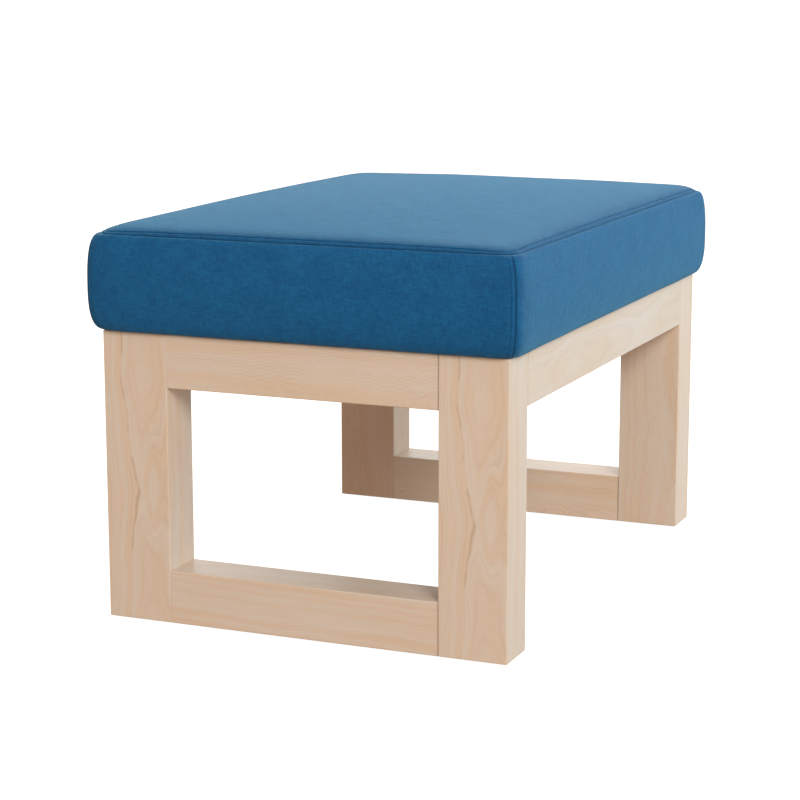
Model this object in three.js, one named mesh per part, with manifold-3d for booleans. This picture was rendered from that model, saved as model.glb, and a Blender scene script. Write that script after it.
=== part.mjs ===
// An upholstered footstool for a glider chair: a boxed seat on a solid maple frame.
// Two closed end frames stand on the floor, each with two legs, a top rail and a bottom rail.
// Two side rails tie them together at the top. All rails are tenoned into the legs.
// The seat is a plywood board with foam, a fibre wrap and a five-panel sewn cover. Four bolts
// through glued corner blocks hold it down. Units are millimetres, +Z is up, and the origin is
// on the floor under the centre. X runs along the end rails and Y along the side rails.
import * as THREE from "three";
import { mergeVertices } from "three/addons/utils/BufferGeometryUtils.js";
import Module from "manifold-3d";

const wasm = await Module();
wasm.setup();

// Frame timber
const frameWidth = 466;
const frameLength = 674;
const frameHeight = 319;
const legWidth = 76.5;
const legDepth = 55.5;
const endRailHeight = 58.5;
const sideRailHeight = 58.5;
const sideRailThickness = 28;
const edgeRound = 1.2;
const legEndRoundShare = 0.8; // of the long edges' rounding
const shoulderRoundShare = 0.3;

// Tenons and their mortises
const endTenon = { length: 40, thickness: 16, height: 38 };
const sideTenon = { length: 35, thickness: 10, height: 37 };
const mortiseSpare = 1.5;

// Clearances and cutting overrun
const glueGap = 0.1;
const fitGap = 0.3;
const overrun = 5;

// Nail-on glides, set in from the leg's outer side clear of the tenon above
const glide = { radius: 11, height: 3, round: 1, inset: 18, nailRadius: 1.4, nailLength: 18, nailPoint: 3 };

// Corner blocks and their wood screws
const block = { side: 70, height: 45, tip: 10, relief: 5, drop: 2 };
const blockScrew = {
  railInset: 34, // from the block's square corner to the screw that goes into the side rail
  legEdge: 13, // from the leg's inner edge to the screw that goes into the leg
  lowShare: 0.3, // heights of the two screws, as shares of the block
  highShare: 0.7,
  grip: 24, // timber of the block under the head
  bite: 14, // depth in the rail or leg
  shankRadius: 2.4,
  headRadius: 4.5,
  headHeight: 2.6,
  point: 4,
};

// Seat bolts, washers and tee nuts. A bolt stands between the block's square corner and its screws.
const bolt = {
  insetShare: 0.59,
  radius: 3,
  headRadius: 6,
  headHeight: 4,
  socketRadius: 2.3,
  socketDepth: 2.4,
  tipBelowNut: 1,
};
const washer = { radius: 9, thickness: 1.6 };
const teeNut = { flangeRadius: 9.5, flangeThickness: 1.5, barrelRadius: 4.2, barrelLength: 10 };

// Seat board and underside cloth
const board = { thickness: 15, inset: 1.5, cornerRadius: 17 };
const dustCover = { thickness: 0.6, margin: 0.5, cornerRadius: 10, boltHoleRadius: 5 };

// Cushion form: heights are above the frame's top, offsets are outwards from the frame's faces
const coverThickness = 1.4;
const seam = {
  height: 104.4,
  offset: 6.5,
  cornerRadius: 24,
  dip: 2.5, // how far the panels' edges turn in
  round: 1.4,
  stitchInset: 3.9, // from the seam to the stitching on the top panel
  stitchDip: 0.5,
};
const bulge = { offset: 13, height: 49, cornerRadius: 11, power: 2.6 };
const foot = { offset: 1, cornerRadius: 19, foldDepth: 8, hemStep: 14, hemWidth: 34, hemRadius: 8 };
const crown = { edgeRise: 7.4, edgeReach: 4.3, middleRise: 18.3 };
const wrapOver = 8; // thickness of the fibre wrap over the foam

// Facets
const timberRoundSteps = 2;
const smallRoundSteps = 2;
const turnedSteps = 12;
const cornerSteps = 3;
const straightSteps = 4;
const bulgeSteps = 4;
// Distances in from the seam for the crown's rings, as shares of half the frame's width
const crownRingShares = [0.038, 0.08, 0.16, 0.3, 0.48, 0.7];

const quarterTurn = Math.PI / 2;
const frameBase = glide.height;
const frameTop = frameBase + frameHeight;
const blockTop = frameTop - block.drop;
const blockBase = blockTop - block.height;
const dustCoverBase = frameTop + fitGap;
const hemBase = dustCoverBase + dustCover.thickness + fitGap;
const boardBase = hemBase + coverThickness + fitGap;
const boardTop = boardBase + board.thickness;
const dustCoverInset = foot.hemStep + dustCover.margin;

const maple = new THREE.MeshStandardMaterial({ color: 0xdcc6ab, roughness: 0.55, metalness: 0 });
const fabric = new THREE.MeshStandardMaterial({ color: 0x2f6a94, roughness: 0.9, metalness: 0 });
const plywood = new THREE.MeshStandardMaterial({ color: 0xcbb086, roughness: 0.75, metalness: 0 });
const foamRubber = new THREE.MeshStandardMaterial({ color: 0xe9e0c4, roughness: 0.95, metalness: 0 });
const fibre = new THREE.MeshStandardMaterial({ color: 0xf3f3ee, roughness: 1, metalness: 0 });
const cambric = new THREE.MeshStandardMaterial({ color: 0x1d1d1f, roughness: 0.95, metalness: 0 });
const zincSteel = new THREE.MeshStandardMaterial({ color: 0xb9bcc0, roughness: 0.35, metalness: 1 });
const nylon = new THREE.MeshStandardMaterial({ color: 0xd9d5cb, roughness: 0.5, metalness: 0 });

// A closed three.js geometry as a solid for joining and cutting. Triangles that shrink to a line
// where points meet, as on a turned piece's axis, are left out.
function solidFrom(geometry) {
  const bare = geometry.index ? geometry.toNonIndexed() : geometry.clone();
  bare.deleteAttribute("normal");
  bare.deleteAttribute("uv");
  const merged = mergeVertices(bare);
  const triangles = [];
  for (let i = 0; i < merged.index.count; i += 3) {
    const corners = [0, 1, 2].map((k) => merged.index.getX(i + k));
    if (new Set(corners).size === 3) triangles.push(...corners);
  }
  return new wasm.Manifold(
    new wasm.Mesh({
      numProp: 3,
      vertProperties: merged.attributes.position.array,
      triVerts: new Uint32Array(triangles),
    }),
  );
}

function geometryFrom(solid) {
  const mesh = solid.getMesh();
  const geometry = new THREE.BufferGeometry();
  geometry.setAttribute("position", new THREE.BufferAttribute(mesh.vertProperties, 3));
  geometry.setIndex(new THREE.BufferAttribute(mesh.triVerts, 1));
  const faceted = geometry.toNonIndexed();
  faceted.computeVertexNormals();
  return faceted;
}

function cut(geometry, tools) {
  return geometryFrom(tools.reduce((solid, tool) => solid.subtract(solidFrom(tool)), solidFrom(geometry)));
}

function join(geometries) {
  return geometryFrom(geometries.map(solidFrom).reduce((whole, solid) => whole.add(solid)));
}

// A rectangle centred on the origin with rounded corners.
function roundedRectangle(width, height, radius) {
  const x = width / 2 - radius;
  const y = height / 2 - radius;
  const shape = new THREE.Shape();
  shape.absarc(x, -y, radius, -quarterTurn, 0);
  shape.absarc(x, y, radius, 0, quarterTurn);
  shape.absarc(-x, y, radius, quarterTurn, 2 * quarterTurn);
  shape.absarc(-x, -y, radius, 2 * quarterTurn, 3 * quarterTurn);
  return shape;
}

// A bar along +Z from the origin, rounded along its edges and at its ends.
function roundedBar(width, depth, length, endRound) {
  const bar = new THREE.ExtrudeGeometry(roundedRectangle(width, depth, edgeRound), {
    depth: length - 2 * endRound,
    curveSegments: timberRoundSteps,
    bevelThickness: endRound,
    bevelSize: endRound,
    bevelOffset: -endRound,
    bevelSegments: smallRoundSteps,
  });
  return bar.translate(0, 0, endRound);
}

// A box given by the lowest and highest value on each axis.
function boxBetween([x0, x1], [y0, y1], [z0, z1]) {
  const box = new THREE.BoxGeometry(x1 - x0, y1 - y0, z1 - z0);
  return box.translate((x0 + x1) / 2, (y0 + y1) / 2, (z0 + z1) / 2);
}

// A turned piece about +Z. The profile is a list of [radius, height].
function turned(profile) {
  const points = profile.map(([radius, height]) => new THREE.Vector2(radius, height));
  return new THREE.LatheGeometry(points, turnedSteps).rotateX(quarterTurn);
}

// A round cutter along +Z between two heights.
function roundCutter(radius, z0, z1) {
  return turned([[0, z0], [radius, z0], [radius, z1], [0, z1]]);
}

// A horizontal slab with round holes, from the given height up.
function slab(width, length, cornerRadius, thickness, base, holes, holeRadius) {
  const shape = roundedRectangle(width, length, cornerRadius);
  for (const [x, y] of holes) {
    const hole = new THREE.Path();
    hole.absarc(x, y, holeRadius, 0, 4 * quarterTurn, true);
    shape.holes.push(hole);
  }
  const plate = new THREE.ExtrudeGeometry(shape, {
    depth: thickness,
    curveSegments: turnedSteps / 2,
    bevelEnabled: false,
  });
  return plate.translate(0, 0, base);
}

const part = new THREE.Group();

function place(geometry, material, name, parent = part) {
  const mesh = new THREE.Mesh(geometry, material);
  mesh.name = name;
  parent.add(mesh);
  return mesh;
}

// The square corner of each block, where the side rail's and the leg's inner faces meet
const blockCorner = {
  x: frameWidth / 2 - sideRailThickness - glueGap,
  y: frameLength / 2 - legDepth - glueGap,
};
const legScrewInset = legWidth - sideRailThickness - glueGap - blockScrew.legEdge;
const boltInset = { x: legScrewInset * bolt.insetShare, y: blockScrew.railInset * bolt.insetShare };
const boltPlace = { x: blockCorner.x - boltInset.x, y: blockCorner.y - boltInset.y };
const boltPlaces = [-1, 1].flatMap((sx) => [-1, 1].map((sy) => [sx * boltPlace.x, sy * boltPlace.y]));
const screwHeights = {
  intoSideRail: blockBase + block.height * blockScrew.highShare,
  intoLeg: blockBase + block.height * blockScrew.lowShare,
};

// Leg, in its own frame: centred in plan, standing on its lower end. Its outer faces are +X and +Y.
const legCentre = { x: frameWidth / 2 - legWidth / 2, y: frameLength / 2 - legDepth / 2 };
const glideAcross = legWidth / 2 - glide.inset;

function mortiseForEndRail(centreHeight) {
  const halfThick = endTenon.thickness / 2 + fitGap;
  const halfHigh = endTenon.height / 2 + fitGap;
  const depth = endTenon.length + mortiseSpare;
  return boxBetween(
    [-legWidth / 2 - overrun, -legWidth / 2 + depth],
    [-halfThick, halfThick],
    [centreHeight - halfHigh, centreHeight + halfHigh],
  );
}

function mortiseForSideRail() {
  const centreAcross = legWidth / 2 - sideRailThickness / 2;
  const halfThick = sideTenon.thickness / 2 + fitGap;
  const centreHeight = frameHeight - sideRailHeight / 2;
  const halfHigh = sideTenon.height / 2 + fitGap;
  const depth = sideTenon.length + mortiseSpare;
  return boxBetween(
    [centreAcross - halfThick, centreAcross + halfThick],
    [-legDepth / 2 - overrun, -legDepth / 2 + depth],
    [centreHeight - halfHigh, centreHeight + halfHigh],
  );
}

function pilotHole() {
  return roundCutter(blockScrew.shankRadius + fitGap, -overrun, blockScrew.bite + fitGap);
}

function legGeometry() {
  const screwAcross = blockScrew.legEdge - legWidth / 2;
  return cut(roundedBar(legWidth, legDepth, frameHeight, edgeRound * legEndRoundShare), [
    mortiseForEndRail(endRailHeight / 2),
    mortiseForEndRail(frameHeight - endRailHeight / 2),
    mortiseForSideRail(),
    pilotHole().rotateX(-quarterTurn).translate(screwAcross, -legDepth / 2, screwHeights.intoLeg - frameBase),
    roundCutter(glide.nailRadius + fitGap, -overrun, glide.nailLength + fitGap).translate(glideAcross, 0, 0),
  ]);
}

// End rail, lying along X about its own middle, with a tenon on each end.
function endRailGeometry() {
  const shoulder = frameWidth / 2 - legWidth - glueGap;
  const tenonEnd = frameWidth / 2 - legWidth + endTenon.length;
  const bar = roundedBar(endRailHeight, legDepth, 2 * shoulder, edgeRound * shoulderRoundShare)
    .translate(0, 0, -shoulder)
    .rotateY(quarterTurn);
  const tenons = boxBetween(
    [-tenonEnd, tenonEnd],
    [-endTenon.thickness / 2, endTenon.thickness / 2],
    [-endTenon.height / 2, endTenon.height / 2],
  );
  return join([bar, tenons]);
}

// Side rail, lying along Y about its own middle, with its outer face towards +X.
function sideRailGeometry() {
  const shoulder = frameLength / 2 - legDepth - glueGap;
  const tenonEnd = frameLength / 2 - legDepth + sideTenon.length;
  const bar = roundedBar(sideRailThickness, sideRailHeight, 2 * shoulder, edgeRound * shoulderRoundShare)
    .translate(0, 0, -shoulder)
    .rotateX(quarterTurn);
  const tenons = boxBetween(
    [-sideTenon.thickness / 2, sideTenon.thickness / 2],
    [-tenonEnd, tenonEnd],
    [-sideTenon.height / 2, sideTenon.height / 2],
  );
  const screwHeight = screwHeights.intoSideRail - (frameTop - sideRailHeight / 2);
  const pilots = [-1, 1].map((end) =>
    pilotHole()
      .rotateY(quarterTurn)
      .translate(-sideRailThickness / 2, end * (blockCorner.y - blockScrew.railInset), screwHeight),
  );
  return cut(join([bar, tenons]), pilots);
}

// Corner block, with its square corner at the origin, towards +X and +Y.
function blockGeometry() {
  const shape = new THREE.Shape([
    new THREE.Vector2(-block.relief, 0),
    new THREE.Vector2(-block.side, 0),
    new THREE.Vector2(-block.side, -block.tip),
    new THREE.Vector2(-block.tip, -block.side),
    new THREE.Vector2(0, -block.side),
    new THREE.Vector2(0, -block.relief),
  ]);
  const wedge = new THREE.ExtrudeGeometry(shape, { depth: block.height, bevelEnabled: false });
  const screwHole = () => {
    const shank = roundCutter(blockScrew.shankRadius + fitGap, -blockScrew.grip - overrun, overrun);
    const counterbore = roundCutter(blockScrew.headRadius + fitGap, -block.side, -blockScrew.grip);
    return join([shank, counterbore]);
  };
  const boltHole = roundCutter(bolt.radius + fitGap, -overrun, block.height + overrun);
  return cut(wedge, [
    screwHole().rotateY(quarterTurn).translate(0, -blockScrew.railInset, block.height * blockScrew.highShare),
    screwHole().rotateX(-quarterTurn).translate(-legScrewInset, 0, block.height * blockScrew.lowShare),
    boltHole.translate(-boltInset.x, -boltInset.y, 0),
  ]);
}

// Pan-head wood screw: its head seats at height zero and its point is up +Z.
function blockScrewGeometry() {
  const { shankRadius, headRadius, headHeight, point, grip, bite } = blockScrew;
  return turned([
    [0, -fitGap - headHeight],
    [headRadius / 2, -fitGap - headHeight],
    [headRadius, -fitGap - headHeight / 3],
    [headRadius, -fitGap],
    [shankRadius, -fitGap],
    [shankRadius, grip + bite - point],
    [0, grip + bite],
  ]);
}

// Seat bolt with a pan head and a hexagon socket, head down, seating at height zero.
function boltGeometry(length) {
  const { radius, headRadius, headHeight, socketRadius, socketDepth } = bolt;
  const body = turned([
    [0, -headHeight],
    [headRadius * 0.7, -headHeight],
    [headRadius, -headHeight / 2],
    [headRadius, 0],
    [radius, 0],
    [radius, length - radius / 2],
    [radius / 2, length],
    [0, length],
  ]);
  const socket = new THREE.CylinderGeometry(socketRadius, socketRadius, 2 * socketDepth, 6);
  return cut(body, [socket.rotateX(quarterTurn).translate(0, 0, -headHeight)]);
}

function washerGeometry() {
  const bore = bolt.radius + fitGap;
  return turned([
    [bore, -washer.thickness],
    [washer.radius, -washer.thickness],
    [washer.radius, 0],
    [bore, 0],
    [bore, -washer.thickness],
  ]);
}

// Tee nut: its flange lies on the board's top at height zero and its barrel hangs in the hole.
function teeNutGeometry() {
  const bore = bolt.radius + fitGap;
  return turned([
    [bore, -teeNut.barrelLength],
    [teeNut.barrelRadius, -teeNut.barrelLength],
    [teeNut.barrelRadius, 0],
    [teeNut.flangeRadius, 0],
    [teeNut.flangeRadius, teeNut.flangeThickness],
    [bore, teeNut.flangeThickness],
    [bore, -teeNut.barrelLength],
  ]);
}

// Glide: a domed foot with its nail, its upper face at height zero.
function glideGeometry() {
  const { radius, height, round, nailRadius, nailLength, nailPoint } = glide;
  return turned([
    [0, -height],
    [radius - round, -height],
    [radius, round - height],
    [radius, -glueGap],
    [nailRadius, -glueGap],
    [nailRadius, nailLength - nailPoint],
    [0, nailLength],
  ]);
}

// One point of a rounded outline that stands off the frame's faces by an offset. Each side runs
// from the middle of one corner to the middle of the next, anticlockwise from the front.
function outlinePoint(side, column, offset, radius) {
  const facesY = side % 2 === 0;
  const halfRun = (facesY ? frameWidth : frameLength) / 2 + offset;
  const halfAcross = (facesY ? frameLength : frameWidth) / 2 + offset;
  const straight = halfRun - radius;
  let along = straight * column.straightShare;
  let outward = halfAcross;
  if (column.end) {
    const angle = column.arcShare * (quarterTurn / 2) + (column.fromCorner ?? 0) / radius;
    along = column.end * (straight + radius * Math.sin(angle));
    outward = halfAcross - radius + radius * Math.cos(angle);
  }
  const pull = (column.pull ?? 0) * Math.SQRT1_2;
  along -= column.end ? column.end * pull : 0;
  outward -= pull;
  const turn = side * quarterTurn;
  return new THREE.Vector2(along, -outward).rotateAround(new THREE.Vector2(), turn);
}

// Columns round a whole ring, without repeats.
const halfArcShares = Array.from({ length: cornerSteps }, (_, i) => 1 - i / cornerSteps);
const straightShares = Array.from({ length: straightSteps + 1 }, (_, i) => (2 * i) / straightSteps - 1);
const middleColumns = [
  ...halfArcShares.slice(1).map((arcShare) => ({ end: -1, arcShare })),
  ...straightShares.map((straightShare) => ({ straightShare })),
  ...halfArcShares.slice(1).reverse().map((arcShare) => ({ end: 1, arcShare })),
];
const ringColumns = [{ end: -1, arcShare: 1 }, ...middleColumns];

// Columns of one boxing panel: its ends are turned in at the corner seams.
const seamColumn = (end) => [
  { end, arcShare: 1, fromCorner: -fitGap / 2, pull: seam.dip },
  { end, arcShare: 1, fromCorner: -seam.round, pull: 0 },
];
const panelColumns = [...seamColumn(-1), ...middleColumns, ...seamColumn(1).reverse()];

// The slow rise of the seat towards its middle.
function middleRise(x, y, edgeOffset) {
  const shareX = Math.min(1, Math.abs(x) / (frameWidth / 2 + edgeOffset));
  const shareY = Math.min(1, Math.abs(y) / (frameLength / 2 + edgeOffset));
  return crown.middleRise * (1 - shareX ** 2) * (1 - shareY ** 2);
}

// A station of a section as points over some columns of one side.
function row(side, columns, station) {
  return columns.map((column) => {
    const plan = outlinePoint(side, column, station.offset, station.radius);
    const rise = station.onTop ? middleRise(plan.x, plan.y, seam.offset) : 0;
    return new THREE.Vector3(plan.x, plan.y, frameTop + station.height + rise);
  });
}

function ring(station, columns = ringColumns) {
  return [0, 1, 2, 3].flatMap((side) => row(side, columns, station));
}

// The section moved inwards by a distance, square to itself. Its outside lies to the right.
function insetSection(section, distance) {
  const way = (a, b) => new THREE.Vector2(b.offset - a.offset, b.height - a.height).normalize();
  return section.map((station, i) => {
    const before = way(section[Math.max(i - 1, 0)], section[Math.max(i, 1)]);
    const after = way(section[Math.min(i, section.length - 2)], section[Math.min(i + 1, section.length - 1)]);
    const along = before.clone().add(after).normalize();
    const reach = distance / Math.max(along.dot(before), Math.SQRT1_2);
    const offset = station.offset - along.y * reach;
    const height = station.height + along.x * reach;
    const radius = Math.max(station.radius + offset - station.offset, seam.round);
    return { ...station, offset, height, radius };
  });
}

// The boxing's bulge from its foot up to the seam, as two quarters of a rounded curve.
function bulgeSection(footOffset, topOffset, footHeight, topHeight) {
  const exponent = 2 / bulge.power;
  const stations = [];
  for (let i = 0; i <= 2 * bulgeSteps; i++) {
    const upper = i > bulgeSteps;
    const angle = ((upper ? i - bulgeSteps : i) / bulgeSteps) * quarterTurn;
    const rising = Math.sin(angle) ** exponent;
    const closing = Math.max(Math.cos(angle), 0) ** exponent;
    const full = upper ? closing : rising;
    const endOffset = upper ? topOffset : footOffset;
    const endRadius = upper ? seam.cornerRadius : foot.cornerRadius;
    stations.push({
      offset: endOffset + (bulge.offset - endOffset) * full,
      height: upper
        ? bulge.height + (topHeight - bulge.height) * rising
        : footHeight + (bulge.height - footHeight) * (1 - closing),
      radius: endRadius + (bulge.cornerRadius - endRadius) * full,
    });
  }
  return stations;
}

const hemHeight = hemBase - frameTop;
const bulgeSectionOfBoxing = bulgeSection(foot.offset, seam.offset, fitGap, seam.height - seam.round);
const boxingSection = [
  { offset: -foot.hemWidth, height: hemHeight, radius: foot.hemRadius },
  { offset: -foot.hemStep, height: hemHeight, radius: foot.hemRadius },
  { offset: -foot.foldDepth, height: fitGap, radius: board.cornerRadius - foot.foldDepth },
  ...bulgeSectionOfBoxing,
  { offset: seam.offset - seam.dip, height: seam.height - fitGap / 2, radius: seam.cornerRadius - seam.dip },
];

function crownStation(inset, drop, cornerRadius) {
  const rise = crown.edgeRise * (1 - Math.exp(-inset / crown.edgeReach));
  return {
    offset: seam.offset - inset,
    height: seam.height + rise - drop,
    radius: Math.max(cornerRadius - inset, seam.round),
    onTop: true,
  };
}

const topSection = [
  { ...crownStation(seam.dip, 0, seam.cornerRadius), height: seam.height + fitGap / 2 },
  { ...crownStation(seam.round / 2, 0, seam.cornerRadius), height: seam.height + seam.round },
  crownStation(seam.stitchInset / 2, 0, seam.cornerRadius),
  crownStation(seam.stitchInset, seam.stitchDip, seam.cornerRadius),
  ...crownRingShares.map((share) => crownStation((share * frameWidth) / 2, 0, seam.cornerRadius)),
];

// A closed skin between two grids of points with the same rows and columns. Rows of a ring close
// on themselves, and a capped skin closes over its last row.
function skin(outer, inner, { isRing, isCapped }) {
  const positions = [];
  const indices = [];
  const columns = outer[0].length;
  const index = (layer, i, j) => (layer * outer.length + i) * columns + (j % columns);
  for (const point of [...outer.flat(), ...inner.flat()]) positions.push(point.x, point.y, point.z);
  const quad = (a, b, c, d) => indices.push(a, b, c, a, c, d);
  const spans = isRing ? columns : columns - 1;
  for (let i = 0; i + 1 < outer.length; i++)
    for (let j = 0; j < spans; j++) {
      quad(index(0, i, j), index(0, i, j + 1), index(0, i + 1, j + 1), index(0, i + 1, j));
      quad(index(1, i, j), index(1, i + 1, j), index(1, i + 1, j + 1), index(1, i, j + 1));
    }
  const last = outer.length - 1;
  for (let j = 0; j < spans; j++) {
    quad(index(1, 0, j), index(1, 0, j + 1), index(0, 0, j + 1), index(0, 0, j));
    if (!isCapped) quad(index(0, last, j), index(0, last, j + 1), index(1, last, j + 1), index(1, last, j));
  }
  if (!isRing)
    for (let i = 0; i < last; i++) {
      quad(index(1, i, 0), index(0, i, 0), index(0, i + 1, 0), index(1, i + 1, 0));
      quad(index(0, i, spans), index(1, i, spans), index(1, i + 1, spans), index(0, i + 1, spans));
    }
  if (isCapped)
    [outer, inner].forEach((grid, layer) => {
      const centre = positions.length / 3;
      const height = Math.max(...grid[last].map((point) => point.z));
      positions.push(0, 0, height);
      for (let j = 0; j < spans; j++) {
        const edge = [index(layer, last, j), index(layer, last, j + 1)];
        if (layer === 1) edge.reverse();
        indices.push(...edge, centre);
      }
    });
  const geometry = new THREE.BufferGeometry();
  geometry.setAttribute("position", new THREE.Float32BufferAttribute(positions, 3));
  geometry.setIndex(indices);
  geometry.computeVertexNormals();
  return geometry;
}

function boxingGeometry(side) {
  const inner = insetSection(boxingSection, coverThickness);
  const rowsOf = (section) => section.map((station) => row(side, panelColumns, station));
  return skin(rowsOf(boxingSection), rowsOf(inner), { isRing: false, isCapped: false });
}

function topPanelGeometry() {
  const inner = insetSection(topSection, coverThickness);
  const rings = (section) => section.map((station) => ring(station));
  return skin(rings(topSection), rings(inner), { isRing: true, isCapped: true });
}

// The foam block and the fibre wrap that rounds it out to the cover.
const foamSide = -board.inset;
const foamTopDrop = coverThickness + 2 * fitGap + wrapOver;
const foamEdgeHeight = seam.height + crown.edgeRise / 2 - foamTopDrop;

// The crown's rings at a depth below the cover's face, kept inside the piece's own side.
function crownAtDepth(depth, side) {
  return insetSection(topSection, depth)
    .slice(-crownRingShares.length)
    .map((station) => {
      const offset = Math.min(station.offset, side.offset - seam.round);
      return { ...station, offset, radius: Math.max(station.radius, side.radius + offset - side.offset) };
    });
}

function foamGeometry() {
  const base = boardTop + fitGap - frameTop;
  const side = { offset: foamSide, radius: board.cornerRadius, height: foamEdgeHeight };
  const upper = [side, ...crownAtDepth(foamTopDrop, side)];
  const lower = upper.map((station) => ({ ...station, height: base, onTop: false }));
  const outer = upper.map((station) => ring(station));
  const inner = lower.map((station) => ring(station));
  const recess = roundCutter(
    teeNut.flangeRadius + fitGap,
    boardTop - overrun,
    boardTop + teeNut.flangeThickness + fitGap,
  );
  const recesses = boltPlaces.map(([x, y]) => recess.clone().translate(x, y, 0));
  return cut(skin(outer, inner, { isRing: true, isCapped: true }), recesses);
}

// The wrap follows the inside of the cover and is drawn in behind its seams.
function wrapGeometry() {
  const skinGap = coverThickness + fitGap;
  const bulging = insetSection(bulgeSectionOfBoxing, skinGap);
  const tuck = {
    offset: seam.offset - seam.dip - skinGap,
    height: seam.height - seam.round - skinGap,
    radius: seam.cornerRadius - seam.dip - skinGap,
  };
  const outerSide = [...bulging.slice(1, -1).filter((_, i) => i % 2 === 0), tuck];
  const outer = [...outerSide, ...crownAtDepth(skinGap, tuck)];
  const innerSide = { offset: foamSide + fitGap, radius: board.cornerRadius + fitGap };
  const base = outerSide[0].height;
  const stretch = (foamEdgeHeight - base) / (tuck.height - base);
  const inner = [
    ...outerSide.map(({ height }) => ({ ...innerSide, height: base + (height - base) * stretch })),
    ...crownAtDepth(skinGap + wrapOver, innerSide),
  ];
  const drawnIn = [{ ...ringColumns[0], pull: seam.dip }, ...middleColumns];
  const outerRings = outer.map((station, i) => ring(station, i < outerSide.length ? drawnIn : ringColumns));
  return skin(outerRings, inner.map((station) => ring(station)), { isRing: true, isCapped: true });
}

// End frames: each stands in its own group, turned to face outwards.
const legShape = legGeometry();
const endRailShape = endRailGeometry();
const blockShape = blockGeometry();
const screwShape = blockScrewGeometry();
const boltLength = boardTop + teeNut.flangeThickness - bolt.tipBelowNut - blockBase + washer.thickness;
const boltShape = boltGeometry(boltLength);

for (const [endName, endSign] of [["front", -1], ["rear", 1]]) {
  const endFrame = new THREE.Group();
  endFrame.scale.y = endSign;
  part.add(endFrame);
  for (const [level, height] of [
    ["bottom", frameBase + endRailHeight / 2],
    ["top", frameTop - endRailHeight / 2],
  ])
    place(endRailShape, maple, `end_rail_${level}_${endName}`, endFrame).position.set(0, legCentre.y, height);

  for (const [sideName, sideSign] of [["left", -1], ["right", 1]]) {
    const where = `${endName}_${sideName}`;
    const corner = new THREE.Group();
    corner.scale.x = sideSign;
    endFrame.add(corner);
    place(legShape, maple, `leg_${where}`, corner).position.set(legCentre.x, legCentre.y, frameBase);
    place(glideGeometry(), nylon, `glide_${where}`, corner).position.set(
      legCentre.x + glideAcross,
      legCentre.y,
      frameBase,
    );
    place(blockShape, maple, `corner_block_${where}`, corner).position.set(
      blockCorner.x,
      blockCorner.y,
      blockBase,
    );

    const railScrew = place(screwShape, zincSteel, `block_screw_side_rail_${where}`, corner);
    railScrew.rotation.y = quarterTurn;
    railScrew.position.set(
      blockCorner.x - blockScrew.grip,
      blockCorner.y - blockScrew.railInset,
      screwHeights.intoSideRail,
    );
    const legScrew = place(screwShape, zincSteel, `block_screw_leg_${where}`, corner);
    legScrew.rotation.x = -quarterTurn;
    legScrew.position.set(
      blockCorner.x - legScrewInset,
      blockCorner.y - blockScrew.grip,
      screwHeights.intoLeg,
    );

    const boltSeat = blockBase - washer.thickness - 2 * glueGap;
    place(boltShape, zincSteel, `seat_bolt_${where}`, corner).position.set(
      boltPlace.x,
      boltPlace.y,
      boltSeat,
    );
    place(washerGeometry(), zincSteel, `washer_${where}`, corner).position.set(
      boltPlace.x,
      boltPlace.y,
      blockBase - glueGap,
    );
    place(teeNutGeometry(), zincSteel, `tee_nut_${where}`, corner).position.set(
      boltPlace.x,
      boltPlace.y,
      boardTop + glueGap,
    );
  }
}

// Side rails
const sideRailShape = sideRailGeometry();
for (const [sideName, sideSign] of [["left", -1], ["right", 1]]) {
  const sideGroup = new THREE.Group();
  sideGroup.scale.x = sideSign;
  part.add(sideGroup);
  place(sideRailShape, maple, `side_rail_${sideName}`, sideGroup).position.set(
    frameWidth / 2 - sideRailThickness / 2,
    0,
    frameTop - sideRailHeight / 2,
  );
}

// Seat
place(
  slab(
    frameWidth - 2 * board.inset,
    frameLength - 2 * board.inset,
    board.cornerRadius,
    board.thickness,
    boardBase,
    boltPlaces,
    teeNut.barrelRadius + fitGap,
  ),
  plywood,
  "seat_board",
);
place(
  slab(
    frameWidth - 2 * dustCoverInset,
    frameLength - 2 * dustCoverInset,
    dustCover.cornerRadius,
    dustCover.thickness,
    dustCoverBase,
    boltPlaces,
    dustCover.boltHoleRadius,
  ),
  cambric,
  "dust_cover",
);
place(foamGeometry(), foamRubber, "seat_foam");
place(wrapGeometry(), fibre, "fibre_wrap");
place(topPanelGeometry(), fabric, "cover_top_panel");
["front", "right", "rear", "left"].forEach((name, side) =>
  place(boxingGeometry(side), fabric, `cover_boxing_${name}`),
);

export default part;
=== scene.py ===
import math

import bmesh
import bpy
from mathutils import Matrix, Vector, noise
from mathutils.bvhtree import BVHTree


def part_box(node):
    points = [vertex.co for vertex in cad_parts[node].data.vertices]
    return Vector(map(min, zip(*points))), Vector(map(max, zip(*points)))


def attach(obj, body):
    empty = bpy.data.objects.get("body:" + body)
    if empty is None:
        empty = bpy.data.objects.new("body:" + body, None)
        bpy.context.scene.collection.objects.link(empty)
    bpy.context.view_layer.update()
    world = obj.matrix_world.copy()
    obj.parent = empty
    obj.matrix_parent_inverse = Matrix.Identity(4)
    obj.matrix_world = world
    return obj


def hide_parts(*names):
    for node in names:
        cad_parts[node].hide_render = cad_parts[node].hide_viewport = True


# Looks for an upholstered footstool on a maple frame. Lengths are in metres, +Z is up, X runs
# across the end frames and Y along the side rails.
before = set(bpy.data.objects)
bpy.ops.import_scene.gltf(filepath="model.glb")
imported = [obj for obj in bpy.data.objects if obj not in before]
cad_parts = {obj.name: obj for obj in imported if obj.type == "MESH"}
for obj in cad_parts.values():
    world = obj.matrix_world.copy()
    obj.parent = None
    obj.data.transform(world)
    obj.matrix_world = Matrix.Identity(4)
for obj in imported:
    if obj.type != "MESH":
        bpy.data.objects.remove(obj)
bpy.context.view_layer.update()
sceneNow = bpy.context.scene
mm = 0.001
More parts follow.
